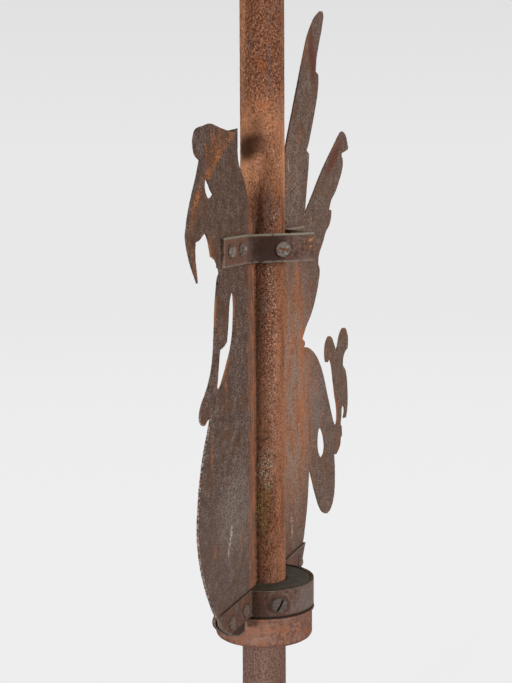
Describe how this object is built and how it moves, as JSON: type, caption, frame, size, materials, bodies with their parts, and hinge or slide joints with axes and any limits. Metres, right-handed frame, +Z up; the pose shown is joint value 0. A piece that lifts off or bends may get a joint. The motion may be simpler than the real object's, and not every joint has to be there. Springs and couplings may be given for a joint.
{
  "type": "weathervane",
  "caption": "Sheet iron dragon weathervane in two halves on a pipe mast, turning on a bronze hub over a ball thrust bearing, with a square guide bracket.",
  "frame": {"origin": "middle of the mast's foot, on the mast's axis", "axes": "+Z up the mast, the dragon's head looks along -X and its tail along +X, the sheet lies in the XZ plane"},
  "size_m": [0.4902, 0.1032, 0.876],
  "materials": {
    "mast_iron": "rusted",
    "sheet_iron": "rusted",
    "strap_iron": "dark rusted",
    "cup_iron": "rusted",
    "hub_bronze": "weathered",
    "screw_steel": "weathered",
    "rivet_iron": "weathered",
    "race_steel": "ground and greased",
    "ball_steel": "polished",
    "cage_brass": "sheared"
  },
  "bodies": {
    "mast": {"mast": "mast_iron", "mast_cap": "mast_iron", "bearing_cup": "cup_iron", "lower_race": "race_steel"},
    "vane": {"hub": "hub_bronze", "upper_race": "race_steel", "hub_strap_front": "strap_iron", "hub_strap_back": "strap_iron", "bracket_front": "strap_iron", "bracket_back": "strap_iron", "head_plate": "sheet_iron", "tail_plate": "sheet_iron", "guide_screw_1": "screw_steel", "guide_screw_2": "screw_steel", "guide_screw_3": "screw_steel", "guide_screw_4": "screw_steel", "guide_nut_1": "screw_steel", "guide_nut_2": "screw_steel", "guide_nut_3": "screw_steel", "guide_nut_4": "screw_steel", "hub_screw_1": "screw_steel", "hub_screw_2": "screw_steel", "hub_screw_3": "screw_steel", "hub_screw_4": "screw_steel", "upper_rivet_1": "rivet_iron", "upper_rivet_2": "rivet_iron", "upper_rivet_3": "rivet_iron", "upper_rivet_4": "rivet_iron", "lower_rivet_1": "rivet_iron", "lower_rivet_2": "rivet_iron", "lower_rivet_3": "rivet_iron", "lower_rivet_4": "rivet_iron"},
    "ball_ring": {"ball_cage": "cage_brass", "bearing_balls": "ball_steel"}
  },
  "joints": [
    {"name": "vane_spin", "type": "hinge", "parent": "mast", "child": "vane", "pos_m": [0, 0, 0.2365], "axis": [0, 0, 1], "continuous": true},
    {"name": "cage_spin", "type": "hinge", "parent": "mast", "child": "ball_ring", "pos_m": [0, 0, 0.2065], "axis": [0, 0, 1], "continuous": true}
  ],
  "couplings": [
    {"joint": "cage_spin", "follows": "vane_spin", "ratio": 0.5}
  ]
}
